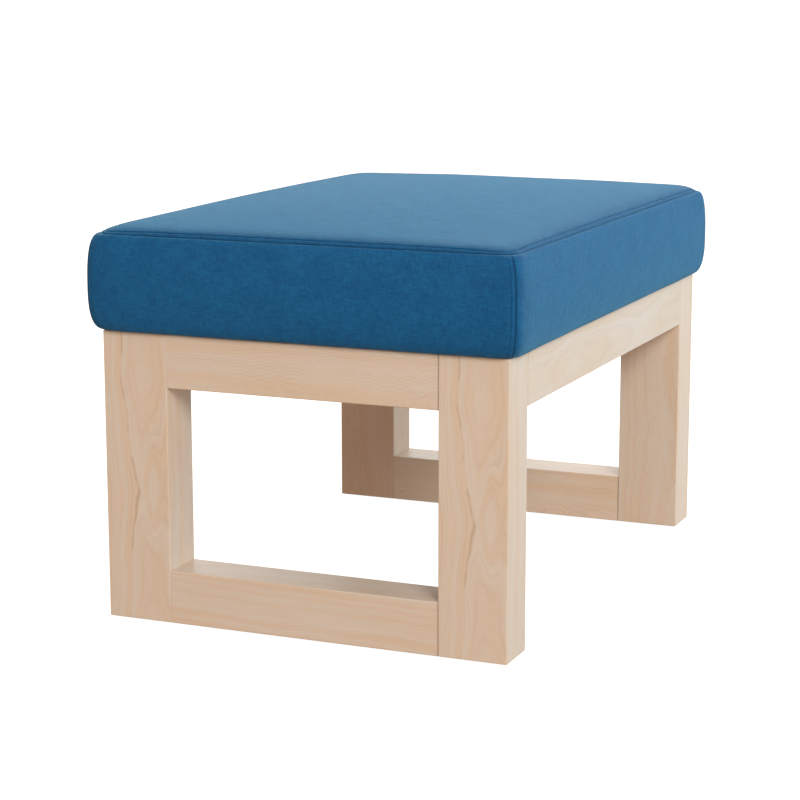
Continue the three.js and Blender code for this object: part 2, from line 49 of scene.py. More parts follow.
quarter, eighth = math.pi / 2, math.pi / 4  # of a turn

camera = {
    "place": (0.9928, -2.4144, 0.7180),
    "pitch": -11.198,
    "roll": 0.06,
    "yaw": 22.910,
    "lens": 101.23,
    "sensor": 36,
}

cameraData = bpy.data.cameras.new("camera")
cameraData.lens = camera["lens"]
cameraData.sensor_width = camera["sensor"]
cameraObject = bpy.data.objects.new("camera", cameraData)
cameraObject.location = camera["place"]
cameraObject.rotation_euler = [math.radians(x) for x in (90 + camera["pitch"], camera["roll"], camera["yaw"])]
sceneNow.collection.objects.link(cameraObject)
sceneNow.camera = cameraObject
print("camera placed")


# Small helpers for node trees
def addNode(tree, kind, values=None, **settings):
    node = tree.nodes.new(kind)
    for name, value in settings.items():
        setattr(node, name, value)
    for name, value in (values or {}).items():
        node.inputs[name].default_value = value
    return node


def link(tree, source, target):
    tree.links.new(source, target)


# A number, a colour or another node's output goes into a socket
def feed(tree, value, socket):
    if isinstance(value, (int, float)):
        socket.default_value = value
    elif isinstance(value, tuple):
        socket.default_value = (*value, 1)
    else:
        link(tree, value, socket)


def calc(tree, operation, *values, clamp=False):
    node = addNode(tree, "ShaderNodeMath", operation=operation, use_clamp=clamp)
    for socket, value in zip(node.inputs, values):
        feed(tree, value, socket)
    return node.outputs[0]


def scaled(tree, value, share, plus):
    return calc(tree, "MULTIPLY_ADD", value, share, plus)


def times(tree, value, *others):
    for other in others:
        value = calc(tree, "MULTIPLY", value, other)
    return value


# A bell curve, 1 where the value is nothing and falling off to both sides
def bell(tree, value):
    return calc(tree, "EXPONENT", times(tree, times(tree, value, value), -1.0))


def softStep(tree, value, low, high):
    ends = {"From Min": low, "From Max": high}
    node = addNode(tree, "ShaderNodeMapRange", ends, interpolation_type="SMOOTHSTEP")
    link(tree, value, node.inputs["Value"])
    return node.outputs["Result"]


def noiseAt(tree, vector, scale, detail, roughness, stretch=None):
    if stretch:
        mapping = addNode(tree, "ShaderNodeMapping", {"Scale": stretch})
        link(tree, vector, mapping.inputs["Vector"])
        vector = mapping.outputs["Vector"]
    node = addNode(tree, "ShaderNodeTexNoise", {"Scale": scale, "Detail": detail, "Roughness": roughness})
    link(tree, vector, node.inputs["Vector"])
    return node.outputs["Fac"]


def splitUp(tree, vector):
    parts = addNode(tree, "ShaderNodeSeparateXYZ")
    link(tree, vector, parts.inputs[0])
    return parts.outputs


# The place on the object, in its own coordinates
def placeOn(tree):
    return addNode(tree, "ShaderNodeTexCoord").outputs["Object"]


def blendColour(tree, amount, first, second, mode="MIX"):
    node = addNode(tree, "ShaderNodeMix", data_type="RGBA", blend_type=mode)
    for place, value in ((0, amount), (6, first), (7, second)):
        feed(tree, value, node.inputs[place])
    return node.outputs[2]


def shadeBy(tree, colour, amount):
    grey = addNode(tree, "ShaderNodeCombineColor")
    for socket in grey.inputs[:3]:
        link(tree, amount, socket)
    return blendColour(tree, 1.0, colour, grey.outputs[0], "MULTIPLY")


# A group that takes one vector and some numbers, and gives numbers
def newGroup(name, vector, numbers, results):
    tree = bpy.data.node_groups.new(name, "ShaderNodeTree")
    tree.interface.new_socket(vector, in_out="INPUT", socket_type="NodeSocketVector")
    for way, labels in (("INPUT", numbers), ("OUTPUT", results)):
        for label in labels:
            tree.interface.new_socket(label, in_out=way, socket_type="NodeSocketFloat")
    return tree, tree.nodes.new("NodeGroupInput").outputs, tree.nodes.new("NodeGroupOutput").inputs


def newMaterial(name, values):
    material = bpy.data.materials.new(name)
    material.use_nodes = True
    tree = material.node_tree
    surface = tree.nodes["Principled BSDF"].inputs
    for label, value in values.items():
        surface[label].default_value = value
    return material, tree, surface


def addBump(tree, surface, height, strength, distance):
    bump = addNode(tree, "ShaderNodeBump", {"Strength": strength, "Distance": distance})
    link(tree, height, bump.inputs["Height"])
    link(tree, bump.outputs["Normal"], surface["Normal"])


# How fast each part of the figure changes, per metre across, through and along the grain
grain = {
    "sway": 9.0,
    "scallop": 5.0,
    "curl": (110, 110, 75),
    "markBreaks": (60, 60, 22),
    "patches": (55, 55, 14),
    "tone": (20, 20, 5),
    "coarseFibre": (480, 480, 26),
    "fineFibre": (1100, 1100, 60),
    "bandYears": 3.2,
    "eyeHigh": 50 * mm,
    "eyeWide": 8 * mm,
}


mapleLengths = ("Ring", "Sway", "Curl", "Scallop", "Mark At", "Mark Width")
mapleLengths += ("Eye Side", "Eye Height", "Eye Swell")


# Maple: growth rings about a pith beside the board, bent by slow and fine noise. The board's Z
# runs along the grain, and its X and Y are measured from the pith.
def makeMapleGroup():
    numbers = (*mapleLengths, "Sway Rate", "Scallop Rate")
    results = ("Line", "Band", "Mark", "Tone", "Fibre")
    tree, given, result = newGroup("mapleFigure", "Board", numbers, results)
    board = given["Board"]
    across, deep, along = splitUp(tree, board)

    def slowNoise(wide, rate, detail):
        place = addNode(tree, "ShaderNodeCombineXYZ")
        for socket, part, speed in zip(place.inputs, (across, deep, along), (wide, wide, rate)):
            link(tree, times(tree, part, speed), socket)
        return calc(tree, "SUBTRACT", noiseAt(tree, place.outputs[0], 1.0, detail, 0.4), 0.5)

    def boardNoise(part, detail, roughness):
        return noiseAt(tree, board, 1.0, detail, roughness, stretch=grain[part])

    radius = calc(tree, "SQRT", calc(tree, "ADD", times(tree, across, across), times(tree, deep, deep)))
    sway = slowNoise(grain["sway"], given["Sway Rate"], 1.5)
    scallop = slowNoise(grain["scallop"], given["Scallop Rate"], 0.6)
    curl = calc(tree, "SUBTRACT", boardNoise("curl", 2.5, 0.55), 0.5)
    bent = radius
    for shape, label in ((sway, "Sway"), (scallop, "Scallop"), (curl, "Curl")):
        bent = scaled(tree, shape, given[label], bent)

    # one thin mineral line, broken along its length
    off = calc(tree, "DIVIDE", calc(tree, "SUBTRACT", bent, given["Mark At"]), given["Mark Width"])
    broken = softStep(tree, boardNoise("markBreaks", 3.0, 0.65), 0.40, 0.58)
    oneSide = softStep(tree, across, 0.0, -2 * mm)
    link(tree, times(tree, bell(tree, off), broken, oneSide), result["Mark"])

    # the rings swell round an eye
    rise = calc(tree, "DIVIDE", calc(tree, "SUBTRACT", along, given["Eye Height"]), grain["eyeHigh"])
    aside = calc(tree, "DIVIDE", calc(tree, "SUBTRACT", across, given["Eye Side"]), grain["eyeWide"])
    apart = calc(tree, "ADD", times(tree, rise, rise), times(tree, aside, aside))
    swell = calc(tree, "EXPONENT", times(tree, apart, -1.0))
    bent = scaled(tree, swell, given["Eye Swell"], bent)

    # a line of late wood ends each year, stronger in some years and places than in others
    phase = calc(tree, "DIVIDE", bent, given["Ring"])
    year = calc(tree, "FRACT", phase)
    late = times(tree, softStep(tree, year, 0.45, 0.85), softStep(tree, year, 1.0, 0.88))
    yearNumber = addNode(tree, "ShaderNodeTexWhiteNoise", noise_dimensions="1D")
    link(tree, calc(tree, "FLOOR", phase), yearNumber.inputs["W"])
    strength = scaled(tree, yearNumber.outputs["Value"], 0.7, 0.3)
    patchy = softStep(tree, boardNoise("patches", 2.0, 0.55), 0.32, 0.62)
    link(tree, times(tree, late, strength, patchy), result["Line"])

    # broad greyish and warm bands follow the rings
    wide = addNode(tree, "ShaderNodeTexNoise", {"Scale": 1.0, "Detail": 1.5}, noise_dimensions="1D")
    link(tree, calc(tree, "DIVIDE", phase, grain["bandYears"]), wide.inputs["W"])
    link(tree, softStep(tree, wide.outputs["Fac"], 0.36, 0.64), result["Band"])

    link(tree, boardNoise("tone", 2.0, 0.5), result["Tone"])
    coarse, fine = boardNoise("coarseFibre", 2.0, 0.6), boardNoise("fineFibre", 3.0, 0.7)
    fibre = calc(tree, "ADD", times(tree, coarse, 0.5), times(tree, fine, 0.5))
    link(tree, fibre, result["Fibre"])
    return tree


mapleGroup = makeMapleGroup()

maple = {
    "pale": (0.758, 0.622, 0.508),
    "warm": (0.750, 0.558, 0.402),
    "line": (0.590, 0.405, 0.265),
    "lineDepth": 0.42,
    "mark": (0.470, 0.285, 0.155),
    "markDepth": 0.50,
    "markWidth": 0.6,
    "fibre": 0.16,
    "jointWidth": 0.7 * mm,
    "shader": {"Roughness": 0.50, "Specular IOR Level": 0.45, "Coat Weight": 0.65, "Coat Roughness": 0.32},
}

turns = {"upright": (0, 0, 0), "lyingAcross": (0, quarter, 0), "lyingAlong": (quarter, 0, 0)}


# One maple for each board, with lengths in mm. Pith is where the tree's middle lay, from the
# board's own middle, and mark is a mineral line's distance from there, out of reach for most
# boards. Eye is a bulge's side, height and swell, and the joint shade is an axis, place and
# depth for a painted shade line along a joint's groove.
def makeMaple(
    node, lie, pith, ring, sway=16, swayRate=2.6, curl=0.5, scallop=0, scallopRate=14,
    mark=5000, eye=(0, 0, 0), glue=None, strong=1.0, tone=(1, 1, 1)
):
    material, tree, surface = newMaterial("maple_" + node, maple["shader"])
    low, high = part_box(node)
    middle = (Vector(low) + Vector(high)) / 2 + Vector(pith) * mm
    turn = Matrix.Rotation(turns[lie][0], 3, "X") @ Matrix.Rotation(turns[lie][1], 3, "Y")
    place = placeOn(tree)
    mapping = addNode(tree, "ShaderNodeMapping", {"Location": -(turn @ middle), "Rotation": turns[lie]})
    link(tree, place, mapping.inputs["Vector"])
    figure = addNode(tree, "ShaderNodeGroup", node_tree=mapleGroup)
    lengths = (ring, sway, curl, scallop, mark, maple["markWidth"], *eye)
    for label, value in zip(mapleLengths, lengths):
        figure.inputs[label].default_value = value * mm
    figure.inputs["Sway Rate"].default_value = swayRate
    figure.inputs["Scallop Rate"].default_value = scallopRate
    link(tree, mapping.outputs["Vector"], figure.inputs["Board"])
    line, band, mineral, cloud, fibre = figure.outputs
    warmth = scaled(tree, cloud, 0.9, times(tree, band, 0.35))
    pale, warm = (tuple(a * b for a, b in zip(maple[name], tone)) for name in ("pale", "warm"))
    ground = blendColour(tree, softStep(tree, warmth, 0.35, 0.95), pale, warm)
    lined = blendColour(tree, times(tree, line, maple["lineDepth"] * strong), ground, maple["line"])
    marked = blendColour(tree, times(tree, mineral, maple["markDepth"]), lined, maple["mark"])
    hair = scaled(tree, fibre, maple["fibre"], 1 - maple["fibre"] / 2)
    # painted shade: a fine dark line at the board's end, standing in for the shade in the joint's groove
    if glue:  # the joint shows as a fine dark line at the board's end
        axis, at, depth = glue
        off = calc(tree, "SUBTRACT", splitUp(tree, place)[axis], at * mm)
        off = calc(tree, "DIVIDE", off, maple["jointWidth"])
        hair = times(tree, hair, scaled(tree, bell(tree, off), -depth, 1.0))
    link(tree, shadeBy(tree, marked, hair), surface["Base Color"])
    rough = scaled(tree, fibre, -0.14, maple["shader"]["Roughness"] + 0.07)
    link(tree, rough, surface["Roughness"])
    addBump(tree, surface, fibre, 0.05, 0.3 * mm)
    return material


def dress(node, material):
    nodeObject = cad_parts[node]
    nodeObject.data.materials.clear()
    nodeObject.data.materials.append(material)


frontLeg = dict(lie="upright", pith=(16, 22, 0), ring=2.4, sway=24, swayRate=3.6, curl=1.8)
frontLeg.update(scallop=9, scallopRate=13, mark=57, eye=(3, -10, 9))
rearLeg = dict(lie="upright", ring=2.4, sway=26, swayRate=4.5, curl=3.4, scallop=6, scallopRate=80)
rearLeg.update(strong=0.8)
# the end rails carry a painted shade line at their right-hand joint
endRail = dict(lie="lyingAcross", ring=2.6, sway=14, curl=2.0, glue=("X", 156.2, 0.34))
sideRail = dict(lie="lyingAlong", ring=3.5, sway=20, swayRate=3.0, curl=1.6)
block = dict(lie="lyingAcross", ring=4)
boards = {
    "leg_front_left": dict(frontLeg),
    "leg_front_right": dict(frontLeg),
    # painted shade: the tone on the rear legs tints their colour towards the warm shade light on the far side
    # of the frame
    "leg_rear_left": dict(rearLeg, pith=(-30, 40, 400), tone=(1.05, 0.94, 0.86)),
    "leg_rear_right": dict(rearLeg, pith=(46, 30, 900), tone=(1.04, 1.01, 0.98)),
    "end_rail_top_front": dict(endRail, pith=(0, -14, -24), ring=3.2, scallop=10, scallopRate=62),
    "end_rail_bottom_front": dict(endRail, pith=(300, 20, -60), sway=22, swayRate=3.2, scallop=8, strong=0.7),
    "end_rail_top_rear": dict(endRail, pith=(800, -10, -70), ring=3.6, sway=20, scallop=10),
    "end_rail_bottom_rear": dict(endRail, pith=(1300, -6, -30), ring=3.0, scallop=8, scallopRate=60),
    "side_rail_left": dict(sideRail, pith=(60, 300, -30)),
    "side_rail_right": dict(sideRail, pith=(-50, 900, -10), ring=3.0, sway=22, swayRate=6.0, curl=2.2),
    "corner_block_front_left": dict(block, pith=(40, -50, 40)),
    "corner_block_front_right": dict(block, pith=(340, -40, 50)),
    "corner_block_rear_left": dict(block, pith=(640, 50, 50), ring=5),
    "corner_block_rear_right": dict(block, pith=(940, 60, 40), ring=5),
}
# painted shade: the far bottom rail's colour is warmed for the shaded light that falls on it
boards["end_rail_bottom_rear"].update(curl=2.6, tone=(1.10, 1.04, 0.98))
# and the right side rail carries a fainter painted shade line at its front joint
boards["side_rail_right"].update(glue=("Y", -281, 0.16))
for node, board in boards.items():
    dress(node, makeMaple(node, **board))
print("maple on", len(boards), "pieces")


plywoodLook = {
    "ply": 3 * mm,
    "dark": (0.50, 0.34, 0.19),
    "pale": (0.68, 0.51, 0.33),
    "fibre": (0.42, 0.27, 0.14),
    "fibreDepth": 0.4,
}


# Plywood: plies show on the edges, and the face is a plain birch veneer
def makePlywood():
    look = plywoodLook
    material, tree, surface = newMaterial("birchPlywood", {"Roughness": 0.6})
    place = placeOn(tree)
    ply = calc(tree, "FRACT", calc(tree, "DIVIDE", splitUp(tree, place)["Z"], look["ply"]))
    band = softStep(tree, calc(tree, "ABSOLUTE", calc(tree, "SUBTRACT", ply, 0.5)), 0.2, 0.26)
    fibre = noiseAt(tree, place, 1.0, 3, 0.6, stretch=(500, 12, 200))
    colour = blendColour(tree, band, look["dark"], look["pale"])
    colour = blendColour(tree, times(tree, fibre, look["fibreDepth"]), colour, look["fibre"])
    link(tree, colour, surface["Base Color"])
    addBump(tree, surface, fibre, 0.1, 0.3 * mm)
    return material


# Plain finishes with a little cloudiness: zinc plate, nylon, foam, wadding, black lining cloth
def makeCloudy(name, rough, first, second, scale, bump, metallic=0.0):
    material, tree, surface = newMaterial(name, {"Metallic": metallic})
    cloud = noiseAt(tree, placeOn(tree), scale, 4, 0.6)
    colour = blendColour(tree, softStep(tree, cloud, 0.3, 0.7), first, second)
    link(tree, colour, surface["Base Color"])
    uneven = calc(tree, "MULTIPLY_ADD", cloud, 0.2, rough - 0.1, clamp=True)
    link(tree, uneven, surface["Roughness"])
    addBump(tree, surface, cloud, bump, 0.2 * mm)
    return material


zinc = makeCloudy("zincPlate", 0.34, (0.50, 0.51, 0.53), (0.66, 0.67, 0.68), 300, 0.05, metallic=1.0)
nylon = makeCloudy("nylonGlide", 0.5, (0.62, 0.59, 0.52), (0.72, 0.69, 0.62), 90, 0.08)
dress("seat_board", makePlywood())
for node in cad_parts:
    if node.startswith(("block_screw", "seat_bolt", "washer", "tee_nut")):
        dress(node, zinc)
    elif node.startswith("glide"):
        dress(node, nylon)


# Plain weave from the piece's own cut-cloth coordinates, which are in metres
def makeWeaveGroup():
    tree, given, result = newGroup("plainWeave", "Cloth", ("Pitch",), ("Height", "Slub", "Mottle", "Cloud"))
    cloth = given["Cloth"]
    wobble = noiseAt(tree, cloth, 260, 2, 0.5)
    halfTurns = []
    for part in splitUp(tree, cloth)[:2]:
        shifted = scaled(tree, wobble, 0.5 * mm, part)
        halfTurns.append(times(tree, calc(tree, "DIVIDE", shifted, given["Pitch"]), math.pi))
    over = times(tree, calc(tree, "SINE", halfTurns[0]), calc(tree, "SINE", halfTurns[1]))
    ribs = [calc(tree, "ABSOLUTE", calc(tree, "SINE", turn)) for turn in halfTurns]
    warpUp = softStep(tree, over, -0.15, 0.15)
    warp = times(tree, ribs[0], warpUp)
    weft = times(tree, ribs[1], calc(tree, "SUBTRACT", 1.0, warpUp))
    link(tree, calc(tree, "ADD", warp, weft), result["Height"])
    slubs = [noiseAt(tree, cloth, 1.0, 3, 0.7, stretch=stretch) for stretch in ((760, 80, 1), (80, 760, 1))]
    link(tree, times(tree, calc(tree, "ADD", *slubs), 0.5), result["Slub"])
    link(tree, noiseAt(tree, cloth, 130, 2, 0.75), result["Mottle"])
    link(tree, noiseAt(tree, cloth, 34, 6, 0.66), result["Cloud"])
    return tree


weaveGroup = makeWeaveGroup()
blueCloth = {
    "deep": (0.006, 0.088, 0.233),
    "light": (0.012, 0.151, 0.352),
    "slub": 0.5,
    "cloud": 0.4,
    "mottle": 0.30,
    "pitch": 0.85 * mm,
    # painted shade: how far the marked seams, grooves, foot and edges darken the cloth
    "paintedShade": 0.60,
    "shader": {
        "Roughness": 0.55,
        "Specular IOR Level": 0.13,
        "Sheen Weight": 0.30,
        "Sheen Roughness": 0.26,
        "Sheen Tint": (0.22, 0.82, 1.0, 1),
    },
}


def makeCloth(name, look):
    material, tree, surface = newMaterial(name, look["shader"])
    cut = addNode(tree, "ShaderNodeUVMap", uv_map="cloth")
    weave = addNode(tree, "ShaderNodeGroup", node_tree=weaveGroup)
    weave.inputs["Pitch"].default_value = look["pitch"]
    link(tree, cut.outputs["UV"], weave.inputs["Cloth"])
    height, slub, mottle, cloud = weave.outputs
    thick = scaled(tree, slub, 2.2, -0.6)
    amount = calc(tree, "ADD", times(tree, thick, look["slub"]), times(tree, cloud, look["cloud"]))
    amount = calc(tree, "ADD", amount, 0.05)
    amount = scaled(tree, calc(tree, "SUBTRACT", mottle, 0.5), look["mottle"], amount)
    ground = blendColour(tree, softStep(tree, amount, 0.26, 0.74), look["deep"], look["light"])
    # painted shade: the weave's low places between the threads are darkened
    woven = shadeBy(tree, ground, scaled(tree, height, 0.35, 0.72))
    # painted shade: the cloth's colour is darkened where a vertex attribute marks the seams, stitch grooves,
    # tucked foot, top's rolled edge and the boxing beside its corners
    paintedShade = addNode(tree, "ShaderNodeAttribute", attribute_name="paintedShade")
    dark = scaled(tree, paintedShade.outputs["Fac"], -look["paintedShade"], 1.0)
    link(tree, shadeBy(tree, woven, dark), surface["Base Color"])
    relief = scaled(tree, mottle, 5.5, scaled(tree, slub, 0.8, height))
    addBump(tree, surface, relief, 0.6, 0.32 * mm)
    return material


coverCloth = makeCloth("blueWeave", blueCloth)

# Cushion form, after the solids' and a little fuller. Heights are above the frame's top and
# offsets are outwards from the frame's outer faces.
form = {
    "width": 466 * mm,
    "length": 674 * mm,
    "frameTop": 322 * mm,
    "seamHeight": 104.4 * mm,
    "seamOffset": 6.5 * mm,
    "seamCorner": 24 * mm,
    "bulgeOffset": 13.8 * mm,
    "bulgeHeight": 49 * mm,
    "bulgeCorner": 11 * mm,
    "lowerPower": 2.9,
    "upperPower": 2.6,
    "footOffset": 1 * mm,
    "footHeight": 0.3 * mm,
    "footCorner": 19 * mm,
    "edgeRise": 4.5 * mm,  # a tight roll by the seam
    "edgeReach": 4.0 * mm,
    "easeRise": 4.1 * mm,  # and a wide easy one further in
    "easeReach": 14 * mm,
    "middleRise": 17.8 * mm,
    "cornerDrop": 0.10,  # share of the edge's rise that is lost at the corners
    "cornerSoft": 1.3,  # and how much further in the edge's rise reaches there
    "cornerReach": 26 * mm,
    "cornerStart": 10 * mm,
    "crownPowers": (2.4, 2),
    "sharpBelow": 30 * mm,  # the corners round off towards the seam, from this far under it
    "turnPower": 4,
    "wallSamples": 900,
    "wallSteps": 1200,
    "hemHeight": 1.2 * mm,
    "cloth": 1.2 * mm,
}
stitching = {
    "topInset": 4.5 * mm,
    "cornerInset": 5.5 * mm,
    "grooveWidth": 0.8 * mm,
    "grooveDepth": 0.9 * mm,
    "seamRoll": 1.1 * mm,
    "seamWidth": 1.0 * mm,
    "stitch": 3.1 * mm,
    "gap": 0.6 * mm,
    "thread": 0.27 * mm,
    "proud": 0.02 * mm,
    "cornerRow": (0.02, 0.97),  # ends of a corner's row, as shares of the boxing's height
    "guides": (200, 60),  # points that lead the rows along a side of the top and up a corner
    "batch": 40,
}
footprint = (form["width"], form["length"])
seamHalf = [run / 2 + form["seamOffset"] for run in footprint]


# Along and in on a curve that leans by 45 degrees times t to the turn power, as two series
def turnCurve(t):
    def term(order):
        power = order * form["turnPower"] + 1
        return eighth**order * t**power / (math.factorial(order) * power)

    return term(0) - term(2) + term(4), term(1) - term(3) + term(5)


turnedIn = turnCurve(1.0)


# A place on the cushion's outline, on one side's half of each corner. Sharp blends from a round
# corner to one that turns mostly at its seam; both meet the seam at the same spot.
def outlinePoint(side, travel, offset, corner, sharp=0.0):
    halfRun, halfAcross = (footprint[way % 2] / 2 + offset for way in (side, side + 1))
    straight = halfRun - corner
    half = straight + corner * eighth
    reach = abs(travel) * half
    lean = max(0.0, (reach - straight) / corner)
    along = min(reach, straight) + corner * math.sin(lean)
    out = halfAcross - corner + corner * math.cos(lean)
    if sharp > 0:
        cut = corner * (1 - math.cos(eighth))
        span = cut / turnedIn[1]
        before = halfRun - cut - span * turnedIn[0]
        reach = abs(travel) * (before + span)
        t = max(0.0, reach - before) / span
        ahead, cut = turnCurve(t)
        along += sharp * (min(reach, before) + span * ahead - along)
        out += sharp * (halfAcross - span * cut - out)
        lean += sharp * (eighth * t ** form["turnPower"] - lean)
    along, lean = math.copysign(along, travel), math.copysign(lean, travel)
    turn = side * quarter
    cos, sin = math.cos(turn), math.sin(turn)
    point = Vector((along * cos + out * sin, along * sin - out * cos, 0))
    outward = Vector((math.sin(lean + turn), -math.cos(lean + turn), 0))
    return point, outward, half


def halfBoxing(side):
    return outlinePoint(side, 0, form["bulgeOffset"], form["bulgeCorner"])[2]


# Offset and corner radius of the boxing at a height above the frame's top
def boxingStation(height):
    if height <= form["bulgeHeight"]:
        rise = (form["bulgeHeight"] - height) / (form["bulgeHeight"] - form["footHeight"])
        end, corner, power = form["footOffset"], form["footCorner"], form["lowerPower"]
    else:
        rise = (height - form["bulgeHeight"]) / (form["seamHeight"] - form["bulgeHeight"])
        end, corner, power = form["seamOffset"], form["seamCorner"], form["upperPower"]
    full = max(0.0, 1 - min(1.0, rise) ** power) ** (1 / power)
    return end + (form["bulgeOffset"] - end) * full, corner + (form["bulgeCorner"] - corner) * full


# Heights at even steps along the boxing's bulged outline, from the foot to the seam
def measureWall():
    count, wall = form["wallSamples"], form["seamHeight"] - form["footHeight"]
    shares = [0.5 - 0.5 * math.cos(math.pi * i / count) for i in range(count + 1)]
    samples = [form["footHeight"] + wall * share for share in shares]
    offsets = [boxingStation(height)[0] for height in samples]
    walked = [0.0]
    for i in range(count):
        walked.append(walked[-1] + math.hypot(samples[i + 1] - samples[i], offsets[i + 1] - offsets[i]))
    heights, i = [], 0
    for step in range(form["wallSteps"] + 1):
        goal = walked[-1] * step / form["wallSteps"]
        while i < count - 1 and walked[i + 1] < goal:
            i += 1
        share = (goal - walked[i]) / (walked[i + 1] - walked[i])
        heights.append(samples[i] + (samples[i + 1] - samples[i]) * share)
    return walked[-1], heights


wallSpan, wallHeights = measureWall()


def boxingForm(side, travel, lift):
    place = min(1.0, max(0.0, lift)) * form["wallSteps"]
    i = min(form["wallSteps"] - 1, int(place))
    height = wallHeights[i] + (wallHeights[i + 1] - wallHeights[i]) * (place - i)
    toSeam = (form["seamHeight"] - height) / form["sharpBelow"]
    sharp = 1 - max(0.0, 1 - toSeam) ** 2
    point, outward, _ = outlinePoint(side, travel, *boxingStation(height), sharp)
    point.z = form["frameTop"] + height
    return point, outward


# Distance in from the seam's rounded outline, and the way out to it
def fromOutline(x, y):
    corner = form["seamCorner"]
    dx, dy = abs(x) - (seamHalf[0] - corner), abs(y) - (seamHalf[1] - corner)
    if dx > 0 and dy > 0:
        outward = Vector((math.copysign(dx, x), math.copysign(dy, y), 0)).normalized()
        return corner - math.hypot(dx, dy), outward
    if dx > dy:
        return corner - dx, Vector((math.copysign(1, x), 0, 0))
    return corner - dy, Vector((0, math.copysign(1, y), 0))


def crownHeight(x, y, inset):
    halfX, halfY = seamHalf
    shareX, shareY = min(1.0, abs(x) / halfX), min(1.0, abs(y) / halfY)
    toCorner = max(0.0, math.hypot(halfX - abs(x), halfY - abs(y)) - form["cornerStart"])
    close = math.exp(-((toCorner / form["cornerReach"]) ** 2))
    reach = form["edgeReach"] * (1 + form["cornerSoft"] * close)
    edge = form["edgeRise"] * (1 - form["cornerDrop"] * close) * (1 - math.exp(-max(inset, 0) / reach))
    edge += form["easeRise"] * (1 - math.exp(-max(inset, 0) / form["easeReach"]))
    powerX, powerY = form["crownPowers"]
    return form["seamHeight"] + edge + form["middleRise"] * (1 - shareX**powerX) * (1 - shareY**powerY)


def topForm(u, v):
    corner = form["seamCorner"]
    halfX, halfY = seamHalf
    x, y = u * halfX, v * halfY
    a = (abs(x) - (halfX - corner)) / corner
    b = (abs(y) - (halfY - corner)) / corner
    if a > 0 and b > 0:  # a square corner is drawn in to a round one
        x = math.copysign(halfX - corner + corner * a * math.sqrt(1 - b * b / 2), x)
        y = math.copysign(halfY - corner + corner * b * math.sqrt(1 - a * a / 2), y)
    inset, outward = fromOutline(x, y)
    return Vector((x, y, form["frameTop"] + crownHeight(x, y, inset))), inset, outward


# The panels are blown up a little as cloth held at its seams, which gives them their fullness
fill = {
    "cell": 11 * mm,
    "fewest": 6,
    "frames": 24,
    "pressure": {"top": 0.3, "wall": 0.55},
    "shrink": {"top": 0.0022, "wall": 0.0002},
    "outward": {"top": 0.6 * mm, "wall": 3.0 * mm},
    "inward": 0.3 * mm,
    "reach": {"top": 14 * mm, "wall": 26 * mm},
    "settings": {
        "quality": 8,
        "mass": 0.3,
        "tension_stiffness": 60,
        "compression_stiffness": 60,
        "bending_stiffness": 0.8,
        "air_damping": 4,
        "vertex_group_mass": "held",
        "use_pressure": True,
    },
}


def startPanel(name, kind, place, spans):
    across, up = (max(fill["fewest"], round(span / fill["cell"])) for span in spans)
    bm = bmesh.new()
    bmesh.ops.create_grid(bm, x_segments=across, y_segments=up, size=1)
    cells = {}
    for vert in bm.verts:
        cells[(round((vert.co.x + 1) / 2 * across), round((vert.co.y + 1) / 2 * up))] = vert.index
    for vert in bm.verts:
        vert.co = place(vert.co.x, vert.co.y)
    mesh = bpy.data.meshes.new(name)
    bm.to_mesh(mesh)
    bm.free()
    start = [vert.co.copy() for vert in mesh.vertices]
    piece = bpy.data.objects.new(name, mesh)
    sceneNow.collection.objects.link(piece)
    held = piece.vertex_groups.new(name="held")
    held.add([index for (i, j), index in cells.items() if i in (0, across) or j in (0, up)], 1.0, "REPLACE")
    cloth = piece.modifiers.new("cloth", "CLOTH")
    settings = cloth.settings
    for setting, value in fill["settings"].items():
        setattr(settings, setting, value)
    settings.shrink_min = fill["shrink"][kind]
    settings.uniform_pressure_force = fill["pressure"][kind]
    settings.effector_weights.gravity = 0
    cloth.collision_settings.use_collision = False
    cloth.point_cache.frame_end = fill["frames"]
    return {"kind": kind, "piece": piece, "start": start, "cells": cells, "size": (across, up)}


def fillPanels(panels):
    for step in range(1, fill["frames"] + 1):
        sceneNow.frame_set(step)
    reading = bpy.context.evaluated_depsgraph_get()
    for panel in panels:
        filled = panel["piece"].evaluated_get(reading).data.vertices
        panel["moved"] = [vert.co - start for vert, start in zip(filled, panel["start"])]
    for panel in panels:
        mesh = panel["piece"].data
        bpy.data.objects.remove(panel["piece"])
        bpy.data.meshes.remove(mesh)
        furthest = max(move.length for move in panel["moved"])
        print("a panel filled out by up to", round(furthest / mm, 2), "mm")
    sceneNow.frame_set(1)


# How far the filled panel moves out at a place on it: capped, and nothing at the seams
def fullnessAt(panel, u, v, normal, fromSeam):
    if panel is None:
        return Vector((0, 0, 0))
    across, up = panel["size"]
    x, y = (u + 1) / 2 * across, (v + 1) / 2 * up
    i, j = min(across - 1, max(0, int(x))), min(up - 1, max(0, int(y)))
    shareX, shareY = x - i, y - j
    total = Vector((0, 0, 0))
    for di, wx in ((0, 1 - shareX), (1, shareX)):
        for dj, wy in ((0, 1 - shareY), (1, shareY)):
            total += panel["moved"][panel["cells"][(i + di, j + dj)]] * (wx * wy)
    push = total.dot(normal)
    kind = panel["kind"]
    cap = fill["outward"][kind] if push > 0 else fill["inward"]
    return normal * cap * math.tanh(push / cap) * (1 - math.exp(-fromSeam / fill["reach"][kind]))


sideNames = ("front", "right", "rear", "left")
panels = dict.fromkeys(("top", *sideNames))
panels["top"] = startPanel("topFilling", "top", lambda u, v: topForm(u, v)[0], footprint)
for side, where in enumerate(sideNames):
    place = lambda u, v, s=side: boxingForm(s, u, (v + 1) / 2)[0]
    panels[where] = startPanel(where + "Filling", "wall", place, (footprint[side % 2], wallSpan))
fillPanels(panels.values())
print("cover panels filled out")


